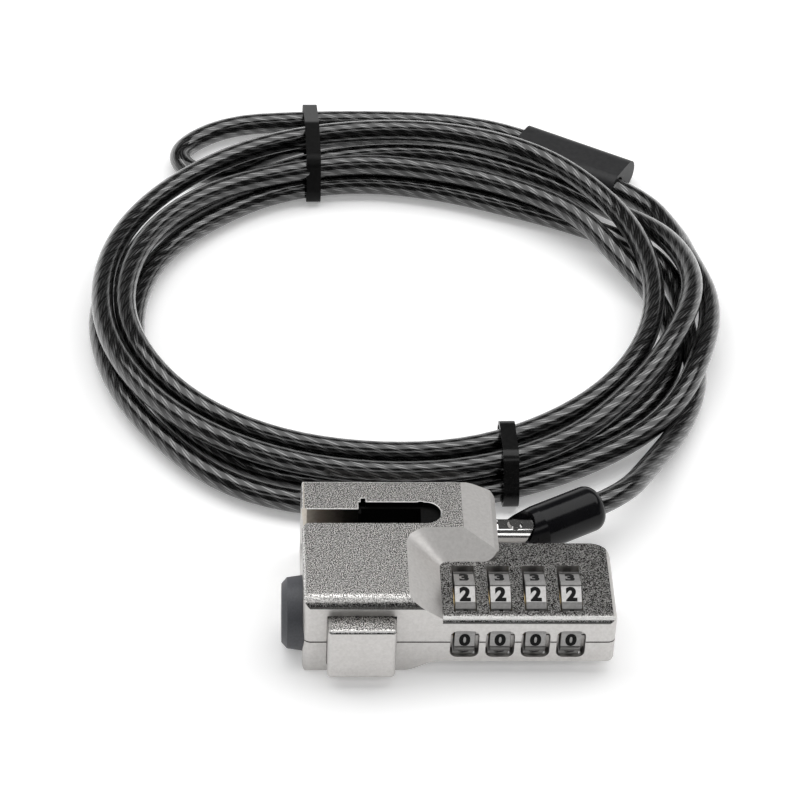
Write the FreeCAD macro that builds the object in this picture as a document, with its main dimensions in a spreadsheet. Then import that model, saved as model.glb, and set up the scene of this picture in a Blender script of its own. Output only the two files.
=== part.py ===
import FreeCAD, Part
import math
import os
import Sketcher
from FreeCAD import Placement, Rotation, Vector

os.makedirs("parts", exist_ok=True)
doc = FreeCAD.newDocument("cable_lock")
sheet = doc.addObject("Spreadsheet::Sheet", "Sizes")


class Dim:
    """A length that knows its number and its formula over the sizes sheet."""

    def __init__(self, value, text):
        self.value = value
        self.text = text

    def __add__(self, other):
        other = dim(other)
        return Dim(self.value + other.value, "(%s + %s)" % (self.text, other.text))

    __radd__ = __add__

    def __sub__(self, other):
        other = dim(other)
        return Dim(self.value - other.value, "(%s - %s)" % (self.text, other.text))

    def __rsub__(self, other):
        return dim(other) - self

    def __mul__(self, other):
        other = dim(other)
        return Dim(self.value * other.value, "(%s * %s)" % (self.text, other.text))

    __rmul__ = __mul__

    def __truediv__(self, other):
        other = dim(other)
        return Dim(self.value / other.value, "(%s / %s)" % (self.text, other.text))

    def __neg__(self):
        return dim(0) - self


def dim(v):
    return v if isinstance(v, Dim) else Dim(float(v), "%.6g" % v)


row = 0


def size(alias, value):
    """Write one driving size into the sheet and hand it back."""
    global row
    row += 1
    sheet.set("A%d" % row, alias)
    sheet.set("B%d" % row, "%.6g" % value)
    sheet.setAlias("B%d" % row, alias)
    return Dim(float(value), "Sizes.%s" % alias)


# driving sizes, millimetres, lock lying on its underside
case_width = size("case_width", 63.9)
case_depth = size("case_depth", 37.3)
block_height = size("block_height", 19.8)
deck_height = size("deck_height", 14.9)
deck_depth = size("deck_depth", 22.85)
deck_underside = size("deck_underside", 3.1)
seam_height = size("seam_height", 8.5)
block_right = size("block_right", 40.8)
front_edge_radius = size("front_edge_radius", 2.5)
deck_edge_radius = size("deck_edge_radius", 1.5)
side_edge_radius = size("side_edge_radius", 1.0)
corner_radius = size("corner_radius", 1.6)
deck_corner_radius = size("deck_corner_radius", 4.2)
flank_foot_x = size("flank_foot_x", 28.3)
flank_foot_y = size("flank_foot_y", 17.2)
flank_top_x = size("flank_top_x", 21.4)
flank_top_y = size("flank_top_y", 22.4)
flank_top_radius = size("flank_top_radius", 5.0)
flank_foot_radius = size("flank_foot_radius", 1.8)
shoulder_top_x = size("shoulder_top_x", 33.4)
shoulder_low_x = size("shoulder_low_x", 39.8)
shoulder_low_z = size("shoulder_low_z", 16.8)
run_gap = size("running_clearance", 0.05)
slide_gap = size("sliding_clearance", 0.1)
free_gap = size("free_clearance", 0.25)

dial_x = size("first_dial_x", 33.0)
dial_pitch = size("dial_pitch", 7.25)
dial_count = 4
dial_flat = size("dial_flat_radius", 8.0)
dial_rib = size("dial_rib_radius", 8.4)
dial_rib_width = size("dial_rib_width", 1.4)
dial_width = size("dial_width", 4.1)
axis_y = size("dial_axis_y", 8.5)
axis_z = size("dial_axis_z", 8.65)
hub_radius = size("hub_radius", 5.2)
hub_length = size("hub_length", 6.9)
spindle_radius = size("spindle_radius", 2.3)
lug_height = size("lug_height", 0.9)
lug_width = size("lug_width", 1.4)
lug_length = size("lug_length", 0.8)
hub_web = size("hub_web", 0.9)
spindle_end_x = size("spindle_end_x", 61.6)

button_reach = size("button_reach", 4.25)
button_base_radius = size("button_base_radius", 7.75)
button_tip_radius = size("button_tip_radius", 7.3)
button_face_radius = size("button_face_radius", 6.05)
button_inside = size("button_inside", 1.7)
button_stroke = size("button_stroke", 2.0)

plunger_reach = size("plunger_reach", 4.5)
plunger_x = size("plunger_x", 4.95)
plunger_width = size("plunger_width", 13.9)
plunger_low = size("plunger_low", 2.45)
plunger_high = size("plunger_high", 15.6)
plunger_depth = size("plunger_depth", 6.0)
plunger_stroke = size("plunger_stroke", 4.0)
plunger_corner = size("plunger_corner", 0.9)

slot_front = size("slot_front", 23.6)
slot_mouth = size("slot_mouth", 4.3)
slot_width = size("slot_width", 6.5)
slot_step_x = size("slot_step_x", 11.7)
slot_end_x = size("slot_end_x", 29.0)
slot_floor = size("slot_floor", 9.2)
liner_wall = size("liner_wall", 0.7)
liner_lip = size("liner_lip", 1.2)

fork_x = size("fork_x", 8.0)
fork_width = size("fork_width", 8.0)
upper_leg_low = size("upper_leg_low", 12.3)
upper_leg_high = size("upper_leg_high", 14.6)
lower_leg_low = size("lower_leg_low", 3.0)
lower_leg_high = size("lower_leg_high", 5.2)
jaw_x = size("jaw_x", 13.0)
jaw_width = size("jaw_width", 6.0)
jaw_low = size("jaw_low", 11.4)

barrel_y = size("barrel_y", 30.5)
barrel_z = size("barrel_z", 10.0)
barrel_radius = size("barrel_radius", 3.5)
barrel_inner_x = size("barrel_inner_x", 34.2)
pin_x = size("pin_x", 44.9)
pin_radius = size("pin_radius", 1.2)
tongue_half = size("tongue_half_height", 1.6)

cable = size("cable_diameter", 5.0)
lead_angle = size("lead_angle", 29.5)
lead_drop = size("lead_drop", 0.6)
boot_radius = size("boot_radius", 5.0)
boot_start = size("boot_start", 0.6)
boot_length = size("boot_length", 21.2)
boot_end_radius = size("boot_end_radius", 2.6)

screw_head_radius = size("screw_head_radius", 2.0)
screw_radius = size("screw_radius", 1.0)

doc.recompute()

# the case's left front corner stands here, so every coordinate stays positive
x0 = button_reach
y0 = plunger_reach
centre_x = (case_width + button_reach) / 2
centre_y = (case_depth + plunger_reach) / 2

AXIS_TURN = {
    "x": Rotation(Vector(0, 1, 0), 90),
    "y": Rotation(Vector(1, 0, 0), -90),
    "z": Rotation(),
}


def place(obj, x, y, z, turn=None):
    obj.Placement = Placement(Vector(dim(x).value, dim(y).value, dim(z).value), turn or Rotation())
    for letter, v in zip("xyz", (x, y, z)):
        obj.setExpression(".Placement.Base." + letter, dim(v).text)
    return obj


def box(name, xs, ys, zs, turn=None):
    """Box between two x, two y and two z positions."""
    obj = doc.addObject("Part::Box", name)
    for prop, (low, high) in zip(("Length", "Width", "Height"), (xs, ys, zs)):
        span = dim(high) - dim(low)
        setattr(obj, prop, span.value)
        obj.setExpression(prop, span.text)
    return place(obj, xs[0], ys[0], zs[0], turn)


def rod(name, axis, start, length, radius):
    """Cylinder along one axis, beginning at the point start."""
    obj = doc.addObject("Part::Cylinder", name)
    obj.Radius = dim(radius).value
    obj.Height = dim(length).value
    obj.setExpression("Radius", dim(radius).text)
    obj.setExpression("Height", dim(length).text)
    return place(obj, start[0], start[1], start[2], AXIS_TURN[axis])


def taper(name, axis, start, length, r_start, r_end):
    obj = doc.addObject("Part::Cone", name)
    for prop, v in (("Radius1", r_start), ("Radius2", r_end), ("Height", length)):
        setattr(obj, prop, dim(v).value)
        obj.setExpression(prop, dim(v).text)
    return place(obj, start[0], start[1], start[2], AXIS_TURN[axis])


def fuse(name, parts):
    obj = doc.addObject("Part::MultiFuse", name)
    obj.Shapes = parts
    return obj


def cut(name, body, tools):
    obj = doc.addObject("Part::Cut", name)
    obj.Base = body
    obj.Tool = tools[0] if len(tools) == 1 else fuse(name + "_tools", tools)
    return obj


def edge_round(name, axis, corner, length, radius, sides):
    """Waste left outside a rounded edge; sides give the way out of the corner."""
    spans = []
    centre = []
    k = 0
    for i, letter in enumerate("xyz"):
        c = dim(corner[i])
        if letter == axis:
            spans.append((c, c + length))
            centre.append(c)
            continue
        out = sides[k]
        k += 1
        inner = c - radius * out
        outer = c + 2 * out
        spans.append((inner, outer) if out > 0 else (outer, inner))
        centre.append(inner)
    block = box(name + "_waste", spans[0], spans[1], spans[2])
    keep = rod(name + "_keep", axis, centre, length, radius)
    return cut(name, block, [keep])


PLANES = {"xy": "XY_Plane", "xz": "XZ_Plane", "yz": "YZ_Plane"}


def prism(name, plane, points, start, length):
    """Straight solid of a closed outline, drawn on one of the body's own planes."""
    body = doc.addObject("PartDesign::Body", name)
    sketch = body.newObject("Sketcher::SketchObject", name + "_outline")
    wanted = PLANES[plane]
    support = [f for f in body.Origin.OriginFeatures if f.Role == wanted][0]
    sketch.AttachmentSupport = (support, [""])
    sketch.MapMode = "FlatFace"
    facing = -1 if plane == "xz" else 1
    sketch.setExpression(".AttachmentOffset.Base.z", (dim(start) * facing).text)
    n = len(points)
    for i in range(n):
        a = points[i]
        b = points[(i + 1) % n]
        first = Vector(dim(a[0]).value, dim(a[1]).value, 0)
        second = Vector(dim(b[0]).value, dim(b[1]).value, 0)
        sketch.addGeometry(Part.LineSegment(first, second), False)
    for i in range(n):
        sketch.addConstraint(Sketcher.Constraint("Coincident", i, 2, (i + 1) % n, 1))
    for i, (u, v) in enumerate(points):
        for kind, d in (("DistanceX", dim(u)), ("DistanceY", dim(v))):
            k = sketch.addConstraint(Sketcher.Constraint(kind, -1, 1, i, 1, d.value))
            sketch.setExpression("Constraints[%d]" % k, d.text)
    pad = body.newObject("PartDesign::Pad", name + "_pad")
    pad.Profile = sketch
    pad.Length = dim(length).value
    pad.setExpression("Length", dim(length).text)
    pad.Reversed = plane == "xz"
    body.Tip = pad
    return body


def solid(name, shape):
    obj = doc.addObject("Part::Feature", name)
    obj.Shape = shape
    return obj


nodes = []


def node(obj, label):
    """Name a finished sub-part and bring it into the shared frame."""
    obj.Label = label
    bound = dict(obj.ExpressionEngine)
    here = obj.Placement.Base
    for letter, now, middle in zip("xy", (here.x, here.y), (centre_x, centre_y)):
        text = bound.get(".Placement.Base." + letter, "%.6g" % now)
        obj.setExpression(".Placement.Base." + letter, "%s - %s" % (text, middle.text))
    nodes.append(obj)
    return obj


# case: one outline for both die-cast shells, split at the seam
def make_flank_waste():
    """What is taken away above the deck, leaving the sloping flanks of the block."""
    corners = []
    arcs = []
    for z in (deck_height.value, block_height.value):
        t = (z - deck_height.value) / (block_height - deck_height).value
        fx = (x0 + flank_foot_x).value + t * (flank_top_x - flank_foot_x).value
        fy = (y0 + flank_foot_y).value + t * (flank_top_y - flank_foot_y).value
        r = flank_foot_radius.value + t * (flank_top_radius - flank_foot_radius).value
        far_x = (x0 + case_width).value + 3
        near_y = y0.value - 3
        corners.append([Vector(fx, near_y, z), Vector(fx, fy - r, z), Vector(fx + r, fy, z),
                        Vector(far_x, fy, z), Vector(far_x, near_y, z)])
        mid = Vector(fx + r * (1 - math.sqrt(0.5)), fy - r * (1 - math.sqrt(0.5)), z)
        arcs.append(Part.Arc(corners[-1][1], mid, corners[-1][2]).toShape())
    faces = [Part.makeRuledSurface(arcs[0], arcs[1])]
    for k in (0, 2, 3, 4):
        after = (k + 1) % 5
        ring = [corners[0][k], corners[0][after], corners[1][after], corners[1][k]]
        faces.append(Part.Face(Part.makePolygon(ring + ring[:1])))
    for ring, arc in zip(corners, arcs):
        lines = [Part.makeLine(ring[k], ring[(k + 1) % 5]) for k in (0, 2, 3, 4)]
        faces.append(Part.Face(Part.Wire([lines[0], arc] + lines[1:])))
    shell = Part.makeShell(faces)
    shell.sewShape()
    waste = Part.makeSolid(shell)
    if waste.Volume < 0:
        waste.reverse()
    return solid("flank_waste", waste)


block_plan = box("block_plan", (x0, x0 + block_right), (y0, y0 + case_depth),
                 (0, block_height))
deck_plan = box("deck_plan", (x0 + 20, x0 + case_width), (y0, y0 + deck_depth),
                (0, block_height))
case_mass = fuse("case_mass", [block_plan, deck_plan])

shoulder = prism("shoulder_waste", "xz", [
    (x0 + shoulder_top_x, block_height),
    (x0 + shoulder_low_x, shoulder_low_z),
    (x0 + block_right, shoulder_low_z - 1.2),
    (x0 + block_right + 2, shoulder_low_z - 1.2),
    (x0 + block_right + 2, block_height + 2),
    (x0 + shoulder_top_x, block_height + 2),
], y0 - 1, case_depth + 4)

belly = prism("belly_waste", "xz", [
    (x0 + 19.2, -1),
    (x0 + 19.2, 0),
    (x0 + 21.2, 0.35),
    (x0 + 23.7, 1.5),
    (x0 + 25.9, 2.7),
    (x0 + 28.2, deck_underside),
    (x0 + case_width + 2, deck_underside),
    (x0 + case_width + 2, -1),
], y0 - 1, deck_depth + 1)

right = x0 + case_width
back = y0 + case_depth
rounds = [
    edge_round("block_front_top", "x", (x0 - 1, y0, block_height), flank_foot_x + 1,
               front_edge_radius, (-1, 1)),
    edge_round("block_back_top", "x", (x0 - 1, back, block_height), block_right + 3,
               deck_edge_radius, (1, 1)),
    edge_round("block_left_top", "y", (x0, y0 - 1, block_height), case_depth + 2,
               side_edge_radius, (-1, 1)),
    edge_round("deck_front_top", "x", (x0 + flank_foot_x, y0, deck_height),
               case_width - flank_foot_x + 1, deck_edge_radius, (-1, 1)),
    edge_round("deck_right_top", "y", (right, y0 - 1, deck_height), deck_depth + 2,
               side_edge_radius, (1, 1)),
    edge_round("corner_left_front", "z", (x0, y0, -1), block_height + 2,
               corner_radius, (-1, -1)),
    edge_round("corner_left_back", "z", (x0, back, -1), block_height + 2,
               corner_radius, (-1, 1)),
    edge_round("corner_right_front", "z", (right, y0, -1), block_height + 2,
               corner_radius, (1, -1)),
    edge_round("corner_right_back", "z", (right, y0 + deck_depth, -1), block_height + 2,
               deck_corner_radius, (1, 1)),
    edge_round("corner_block_back", "z", (x0 + block_right, back, -1), block_height + 2,
               corner_radius, (1, 1)),
    edge_round("block_front_low", "x", (x0 - 1, y0, 0), flank_foot_x + 1,
               side_edge_radius, (-1, -1)),
    edge_round("block_left_low", "y", (x0, y0 - 1, 0), case_depth + 2,
               side_edge_radius, (-1, -1)),
    edge_round("deck_right_low", "y", (right, y0 - 1, deck_underside), deck_depth + 2,
               side_edge_radius, (1, -1)),
]
wall_corner_radius = (deck_depth - flank_foot_y) * 0.6
beside_block = box("beside_block", (x0 + block_right, right + 5), (y0 - 5, back + 5),
                   (deck_height, block_height + 5))
wall_corner = edge_round("wall_corner", "z",
                         (x0 + block_right, y0 + flank_foot_y, deck_height),
                         block_height - deck_height + 2, wall_corner_radius, (1, -1))
case_flanked = cut("case_flanked", case_mass, [make_flank_waste()])
case_body = cut("case_body", case_flanked,
                [shoulder, belly, beside_block, wall_corner] + rounds)

# hollows of the case
dial_xs = [x0 + dial_x + dial_pitch * i for i in range(dial_count)]
ax_y = y0 + axis_y
ax_z = axis_z
well_radius = dial_rib + free_gap
well_half = dial_width / 2 + free_gap
leaf_top = block_height - 1.6
latch_top = leaf_top - 1.0

hollows = []
for i, dx in enumerate(dial_xs):
    hollows.append(rod("well_%d" % (i + 1), "x", (dx - well_half, ax_y, ax_z),
                       well_half * 2, well_radius))
    hollows.append(box("window_%d" % (i + 1), (dx - well_half, dx + well_half),
                       (ax_y, y0 + 15.9), (10.5, deck_height + 1)))
    face = box("scoop_%d_face" % (i + 1), (dx - 2.95, dx + 2.95), (y0 - 1, y0 + 2.2),
               (4.3, 11.6))
    soft = doc.addObject("Part::Fillet", "scoop_%d" % (i + 1))
    soft.Base = face
    doc.recompute()
    along = []
    for k, e in enumerate(face.Shape.Edges):
        way = e.Vertexes[1].Point - e.Vertexes[0].Point
        if abs(way.y) > 1:
            along.append((k + 1, 1.6, 1.6))
    soft.Edges = along
    hollows.append(soft)

last_x = dial_xs[-1]
hollows += [
    rod("hub_channel", "x", (dial_xs[0] - hub_length / 2 - 0.6, ax_y, ax_z),
        last_x - dial_xs[0] + hub_length + 1.2, hub_radius + run_gap),
    rod("spindle_bore", "x", (x0 + 2, ax_y, ax_z), spindle_end_x - 2 + 0.3,
        spindle_radius + run_gap),
    rod("lug_passage", "x", (x0 + 19, ax_y, ax_z), dial_x - 19 - hub_length / 2,
        spindle_radius + lug_height + 0.4),
    rod("button_bore", "x", (x0 - 1, ax_y, ax_z), 1 + button_inside + button_stroke + 0.4,
        button_base_radius + slide_gap),
    box("plunger_bore", (x0 + plunger_x - slide_gap, x0 + plunger_x + plunger_width + slide_gap),
        (y0 - 1, y0 + plunger_depth - plunger_reach + plunger_stroke + 0.3),
        (plunger_low - slide_gap, plunger_high + slide_gap)),
    box("fork_channel", (x0 + fork_x - slide_gap, x0 + fork_x + fork_width + slide_gap),
        (y0 + 1, y0 + 20.4), (upper_leg_low - slide_gap, upper_leg_high + slide_gap)),
    box("lower_leg_channel", (x0 + fork_x - slide_gap, x0 + fork_x + fork_width + slide_gap),
        (y0 + 1, y0 + 21.6), (lower_leg_low - slide_gap, lower_leg_high + slide_gap)),
    box("jaw_channel", (x0 + jaw_x - slide_gap, x0 + jaw_x + jaw_width + slide_gap),
        (y0 + 17.4, y0 + slot_front + 1), (jaw_low - slide_gap, upper_leg_high + slide_gap)),
    box("latch_room", (x0 + 9.4, x0 + 14.6), (y0 + 10.4, y0 + 13.6), (14.5, leaf_top)),
    box("comb_room", (x0 + 29.5, x0 + 58.3), (y0 + 16.9, y0 + 17.9), (4.4, 13.0)),
    rod("barrel_bore", "x", (x0 + barrel_inner_x + 2.2, y0 + barrel_y, barrel_z),
        block_right - barrel_inner_x, barrel_radius + run_gap),
    rod("clip_room", "x", (x0 + barrel_inner_x - 0.4, y0 + barrel_y, barrel_z), 3.6, 5.3),
]

mouth_flare = size("mouth_flare", 1.1)
slot_back_narrow = slot_front + slot_mouth
slot_back = slot_front + slot_width
slot_mid = slot_front + slot_width / 2
hollows += [
    box("slot_narrow", (x0 - 1, x0 + slot_step_x + 1), (y0 + slot_front, y0 + slot_back_narrow),
        (slot_floor, block_height + 1)),
    prism("slot_lips", "xy", [
        (x0 - 0.4, y0 + slot_front - mouth_flare - 0.4),
        (x0 + mouth_flare, y0 + slot_front + 0.02),
        (x0 + mouth_flare, y0 + slot_back_narrow - 0.02),
        (x0 - 0.4, y0 + slot_back_narrow + mouth_flare + 0.4),
    ], slot_floor, block_height + 1 - slot_floor),
    box("slot_wide", (x0 + slot_step_x, x0 + slot_end_x - slot_width / 2),
        (y0 + slot_front, y0 + slot_back), (slot_floor, block_height + 1)),
    rod("slot_round_end", "z", (x0 + slot_end_x - slot_width / 2, y0 + slot_mid, slot_floor),
        block_height, slot_width / 2),
    box("slot_notch", (x0 + 12.2, x0 + 13.4), (y0 + slot_back - 1, y0 + slot_back + 1.2),
        (slot_floor + 3, block_height + 1)),
    box("slot_nick", (x0 + 24.2, x0 + 25.4), (y0 + slot_back - 1, y0 + slot_back + 0.25),
        (block_height - 3, block_height + 1)),
]

# screws from below, thread in the upper shell
screw_spots = [
    (4.0, case_depth - 4.3),
    (24.5, case_depth - 4.7),
    (case_width - 2.9, deck_depth - 3.65),
    (24.2, 4.2),
]
screw_seat = 4.6
screw_length = size("screw_length", 9.0)
low_cuts = []
high_cuts = []
screw_parts = []
for i, (sx, sy) in enumerate(screw_spots):
    at = (x0 + sx, y0 + sy)
    low_cuts.append(rod("screw_well_%d" % i, "z", (at[0], at[1], -1), screw_seat + 1,
                        screw_head_radius + slide_gap))
    low_cuts.append(rod("screw_pass_%d" % i, "z", (at[0], at[1], 0), seam_height + 1,
                        screw_radius + slide_gap))
    high_cuts.append(rod("screw_tap_%d" % i, "z", (at[0], at[1], seam_height - 1),
                         screw_seat + screw_length - seam_height + 1.3, screw_radius))
    head = rod("screw_head_%d" % i, "z", (at[0], at[1], screw_seat - 1.4), 1.4,
               screw_head_radius)
    shank = rod("screw_shank_%d" % i, "z", (at[0], at[1], screw_seat - 0.2),
                screw_length, screw_radius)
    socket = rod("screw_socket_%d" % i, "z", (at[0], at[1], screw_seat - 1.5), 0.9, 0.9)
    screw_parts.append(cut("screw_%d" % i, fuse("screw_solid_%d" % i, [head, shank]),
                           [socket]))
case_screws = fuse("screw_group", screw_parts)

far = 90
above = box("above_seam", (-10, far), (-10, far), (seam_height, 40))
below = box("below_seam", (-10, far), (-10, far), (-20, seam_height))
case_hollow = cut("case_hollow", case_body, hollows)

upper_half = doc.addObject("Part::Common", "upper_half")
upper_half.Base = case_hollow
upper_half.Tool = above
upper = cut("upper_case", upper_half, high_cuts)
lower_half = doc.addObject("Part::Common", "lower_half")
lower_half.Base = case_hollow
lower_half.Tool = below
lower = cut("lower_case", lower_half, low_cuts)

# dials: ten-sided ring pressed on its clutch hub
rings = []
hubs = []
for i, dx in enumerate(dial_xs):
    n = i + 1
    ten = doc.addObject("Part::Prism", "dial_%d_sides" % n)
    ten.Polygon = 10
    corner = dial_flat / math.cos(math.pi / 10)
    ten.Circumradius = corner.value
    ten.setExpression("Circumradius", corner.text)
    ten.Height = dial_width.value
    ten.setExpression("Height", dial_width.text)
    place(ten, dx - dial_width / 2, ax_y, ax_z, AXIS_TURN["x"])
    ribs = []
    for k in range(10):
        angle = 36 * k
        rib = doc.addObject("Part::Box", "dial_%d_rib_%d" % (n, k))
        rib.Length = dial_width.value
        rib.setExpression("Length", dial_width.text)
        rib.Width = dial_rib_width.value
        rib.setExpression("Width", dial_rib_width.text)
        rib.Height = 2.0
        turn = Rotation(Vector(1, 0, 0), angle)
        half = dial_rib_width / 2
        reach = dial_rib - 2.0
        c = math.cos(math.radians(angle))
        s = math.sin(math.radians(angle))
        place(rib, dx - dial_width / 2, ax_y - half * c - reach * s,
              ax_z - half * s + reach * c, turn)
        ribs.append(rib)
    ring_mass = fuse("dial_%d_mass" % n, [ten] + ribs)
    bore = rod("dial_%d_bore" % n, "x", (dx - dial_width, ax_y, ax_z), dial_width * 2,
               hub_radius - 0.6)
    rings.append(cut("dial_%d_ring" % n, ring_mass, [bore]))
    left = dx - hub_length / 2
    sleeve = rod("hub_%d_mass" % n, "x", (left, ax_y, ax_z), hub_length, hub_radius - 0.6)
    collar = rod("hub_%d_collar" % n, "x", (left, ax_y, ax_z),
                 (hub_length - dial_width) / 2, hub_radius)
    chamber = rod("hub_%d_chamber" % n, "x", (left - hub_web, ax_y, ax_z), hub_length,
                  spindle_radius + lug_height + free_gap)
    guide = rod("hub_%d_guide" % n, "x", (left - 1, ax_y, ax_z), hub_length + 2,
                spindle_radius + run_gap)
    key = box("hub_%d_key" % n, (left + hub_length / 2, left + hub_length + 1),
              (ax_y - lug_width / 2 - free_gap, ax_y + lug_width / 2 + free_gap),
              (ax_z, ax_z + spindle_radius + lug_height + free_gap))
    hubs.append(cut("hub_%d" % n, fuse("hub_%d_solid" % n, [sleeve, collar]),
                    [chamber, guide, key]))

# spindle with one lug for each dial, and the push button on its end
spindle_start = x0 - 1.5
spindle_rod = rod("spindle_rod", "x", (spindle_start, ax_y, ax_z),
                  spindle_end_x + 1.5 - button_stroke - 0.2, spindle_radius)
lugs = []
for i, dx in enumerate(dial_xs):
    left = dx + hub_length / 2 - hub_web - lug_length - button_stroke - slide_gap
    lugs.append(box("lug_%d" % (i + 1), (left, left + lug_length),
                    (ax_y - lug_width / 2, ax_y + lug_width / 2),
                    (ax_z + 1, ax_z + spindle_radius + lug_height)))
spindle = fuse("spindle_solid", [spindle_rod] + lugs)

button_skirt = rod("button_skirt", "x", (x0, ax_y, ax_z), button_inside, button_base_radius)
button_wall = taper("button_wall", "x", (x0 - button_reach + 1.1, ax_y, ax_z),
                    button_reach - 1.1, button_tip_radius, button_base_radius)
button_face = taper("button_face", "x", (x0 - button_reach, ax_y, ax_z), 1.1,
                    button_face_radius, button_tip_radius)
button_seat = rod("button_seat", "x", (spindle_start, ax_y, ax_z), 10, spindle_radius)
button_hollow = rod("button_hollow", "x", (x0 - 0.9, ax_y, ax_z), 5, 6.2)
button_post = rod("button_post", "x", (x0 - 2.4, ax_y, ax_z), 2.4 + button_inside, 3.3)
button_shell = cut("button_shell", fuse("button_mass", [button_skirt, button_wall, button_face]),
                   [button_hollow])
button = cut("button_solid", fuse("button_whole", [button_shell, button_post]), [button_seat])


def biarc(p, tp, q, tq):
    """Two arcs joined smoothly between two points with given directions."""
    v = q - p
    t = tp + tq
    den = 2 * (1 - tp.dot(tq))
    if abs(den) < 1e-9:
        d = v.dot(v) / (4 * v.dot(tq))
    else:
        d = (-v.dot(t) + math.sqrt(v.dot(t) ** 2 + den * v.dot(v))) / den
    joint = (p + q + (tp - tq) * d) * 0.5
    edges = []
    for a, ta, b in ((p, tp, joint), (joint, None, q)):
        if ta is None:
            chord = joint - p
            ta = (chord * (2 * chord.dot(tp) / chord.dot(chord)) - tp).normalize()
        chord = b - a
        bend = chord - ta * chord.dot(ta)
        if bend.Length < 1e-6 * chord.Length:
            edges.append(Part.makeLine(a, b))
            continue
        normal = bend.normalize()
        radius = chord.dot(chord) / (2 * chord.dot(normal))
        centre = a + normal * radius
        middle = (a + b) * 0.5 - centre
        mid = centre + middle.normalize() * radius
        edges.append(Part.Arc(a, mid, b).toShape())
    return edges


def sweep(path, start, way, radius):
    """Round tube along a wire."""
    ring = Part.Wire(Part.makeCircle(radius, start, way))
    return path.makePipeShell([ring], True, False)


def coil_spring(name, axis, start, length, mean_radius, thickness, turns):
    """Open coil spring; each quarter turn is two arcs."""
    rise = length / (2 * math.pi * turns)

    def spot(a):
        return Vector(mean_radius * math.cos(a), mean_radius * math.sin(a), rise * a)

    def way(a):
        return Vector(-mean_radius * math.sin(a), mean_radius * math.cos(a), rise).normalize()

    edges = []
    for k in range(4 * turns):
        a = math.pi / 2 * k
        b = math.pi / 2 * (k + 1)
        edges += biarc(spot(a), way(a), spot(b), way(b))
    obj = solid(name, sweep(Part.Wire(edges), spot(0), way(0), thickness / 2))
    obj.Placement = Placement(Vector(*[dim(v).value for v in start]), AXIS_TURN[axis])
    return obj


release_spring = coil_spring("release_spring_wire", "x",
                             (x0 - 0.35, ax_y, ax_z), 3.6, 4.6, 0.5, 3)

# plunger, lock fork and jaw
pl_left = x0 + plunger_x
pl_right = pl_left + plunger_width
plunger_block = box("plunger_block", (pl_left, pl_right), (0, plunger_depth),
                    (plunger_low, plunger_high))
plunger_soft = doc.addObject("Part::Fillet", "plunger_soft")
plunger_soft.Base = plunger_block
doc.recompute()
picked = []
for k, e in enumerate(plunger_block.Shape.Edges):
    way = e.Vertexes[1].Point - e.Vertexes[0].Point
    middle = (e.Vertexes[1].Point + e.Vertexes[0].Point) * 0.5
    if abs(way.y) > 1 or middle.y < 0.01:
        picked.append((k + 1, plunger_corner.value, plunger_corner.value))
plunger_soft.Edges = picked
fork_seat = y0 + plunger_depth - plunger_reach - 2.0
plunger_slots = [
    box("upper_leg_seat", (x0 + fork_x, x0 + fork_x + fork_width), (fork_seat, y0 + 9),
        (upper_leg_low, upper_leg_high)),
    box("lower_leg_seat", (x0 + fork_x, x0 + fork_x + fork_width), (fork_seat, y0 + 9),
        (lower_leg_low, lower_leg_high)),
]
plunger = cut("plunger_solid", plunger_soft, plunger_slots)

jaw_rest_y = y0 + slot_front - 1.2
upper_leg = box("upper_leg", (x0 + fork_x, x0 + fork_x + fork_width),
                (fork_seat, y0 + 16.0), (upper_leg_low, upper_leg_high))
leg_neck = box("leg_neck", (x0 + jaw_x, x0 + fork_x + fork_width),
               (y0 + 15.0, y0 + 18.0), (upper_leg_low, upper_leg_high))
notch_width = size("notch_width", 1.6)
notch_depth = size("notch_depth", 1.4)
tooth_y = y0 + 11.3
notches = []
for k, shift in enumerate((dim(0), plunger_stroke)):
    low = tooth_y - shift - (notch_width - 1.2) / 2
    notches.append(box("leg_notch_%d" % k, (x0 + 9, x0 + 15), (low, low + notch_width),
                       (upper_leg_high - notch_depth, upper_leg_high + 1)))
fork = cut("fork_solid", fuse("fork_mass", [upper_leg, leg_neck]), notches)
lower_leg = box("lower_leg", (x0 + fork_x, x0 + fork_x + fork_width),
                (fork_seat, y0 + 12.0), (lower_leg_low, lower_leg_high))
jaw = box("jaw_block", (x0 + jaw_x, x0 + jaw_x + jaw_width), (y0 + 18.0, jaw_rest_y),
          (jaw_low, upper_leg_high))
plunger_spring = coil_spring("plunger_spring_wire", "y",
                             (x0 + fork_x + fork_width / 2, y0 + 16.3, lower_leg_low + 1.1),
                             5.0, 0.75, 0.35, 6)

# latch above the fork and its leaf spring
latch_tooth = box("latch_tooth", (x0 + 10, x0 + 14), (tooth_y, tooth_y + 1.2),
                  (upper_leg_high + slide_gap, latch_top - 0.2))
latch_back = box("latch_back", (x0 + 9.5, x0 + 14.5), (y0 + 10.5, y0 + 13.5),
                 (latch_top - 1.2, latch_top))
latch = fuse("latch_solid", [latch_tooth, latch_back])
latch_leaf = prism("latch_leaf_strip", "xz", [
    (x0 + 9.6, leaf_top - 0.3),
    (x0 + 12.0, leaf_top - 0.85),
    (x0 + 14.4, leaf_top - 0.3),
    (x0 + 14.4, leaf_top),
    (x0 + 12.0, leaf_top - 0.55),
    (x0 + 9.6, leaf_top),
], y0 + 10.9, 2.2)

# detent comb: one springy tongue behind every dial
comb_points = [(x0 + 29.7, 4.6), (x0 + 58.1, 4.6), (x0 + 58.1, 6.4)]
for dx in reversed(dial_xs):
    comb_points += [(dx + 1.2, 6.4), (dx + 1.0, 12.6), (dx - 1.0, 12.6), (dx - 1.2, 6.4)]
comb_points += [(x0 + 29.7, 6.4)]
comb = prism("comb_strip", "xz", comb_points, y0 + 17.5, 0.4)

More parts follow.
